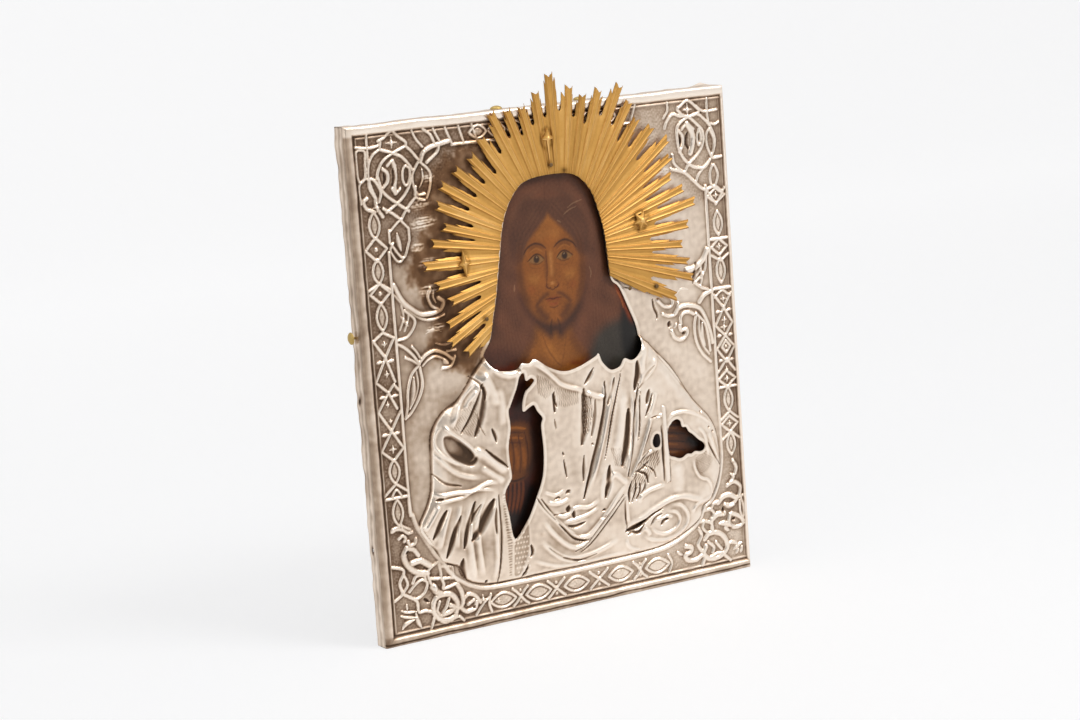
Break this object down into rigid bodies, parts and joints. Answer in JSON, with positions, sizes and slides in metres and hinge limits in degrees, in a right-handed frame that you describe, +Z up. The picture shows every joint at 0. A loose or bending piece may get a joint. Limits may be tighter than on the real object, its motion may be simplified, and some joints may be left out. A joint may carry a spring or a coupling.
{
  "type": "icon with stamped metal cover",
  "caption": "Upright painted panel under a thin relief metal cover with shaped openings, a gilt ray halo, edge nails, back battens and a hanging ring.",
  "frame": {"origin": "middle of the flat underside of the cover's bottom skirt, which the icon is stood on", "axes": "+Z up along the panel's height, +X to the right seen from the front, -Y out of the front of the icon"},
  "size_m": [0.2705, 0.0235, 0.3306],
  "materials": {
    "silvered_sheet": "old silvered repousse sheet, satin highlights over brown tarnish in the hollows",
    "gilt_sheet": "gilded stamped sheet, soft satin, darker in the folds",
    "brass_nail": "worn brass, slightly dull",
    "iron_wire": "forged iron wire with thin brown rust",
    "board_timber": "old limewood, darkened and waxed by handling",
    "batten_timber": "planed oak batten, dark with age",
    "linen": "glued linen",
    "gesso": "chalk and glue ground, matt",
    "egg_tempera": "dark varnished tempera, semi-gloss with fine craquelure"
  },
  "bodies": {
    "icon": {"board_left": "board_timber", "board_right": "board_timber", "back_batten_lower": "batten_timber", "back_batten_upper": "batten_timber", "linen_cloth": "linen", "gesso_ground": "gesso", "paint_layer": "egg_tempera", "oklad_cover": "silvered_sheet", "halo": "gilt_sheet", "skirt_nail_left_loose": "brass_nail", "skirt_nail_right_1": "brass_nail", "skirt_nail_right_2": "brass_nail", "skirt_nail_right_3": "brass_nail", "skirt_nail_right_4": "brass_nail", "skirt_nail_top_1": "brass_nail", "skirt_nail_top_2": "brass_nail", "halo_pin_1": "brass_nail", "halo_pin_2": "brass_nail", "halo_pin_3": "brass_nail", "halo_pin_4": "brass_nail", "hanger_staple": "iron_wire"},
    "hanger_ring": {"hanging_ring": "iron_wire"}
  },
  "joints": [
    {"name": "ring_swing", "type": "hinge", "parent": "icon", "child": "hanger_ring", "pos_m": [0, 0.00765, 0.28715], "axis": [1, 0, 0], "range_deg": [0, 170]}
  ]
}
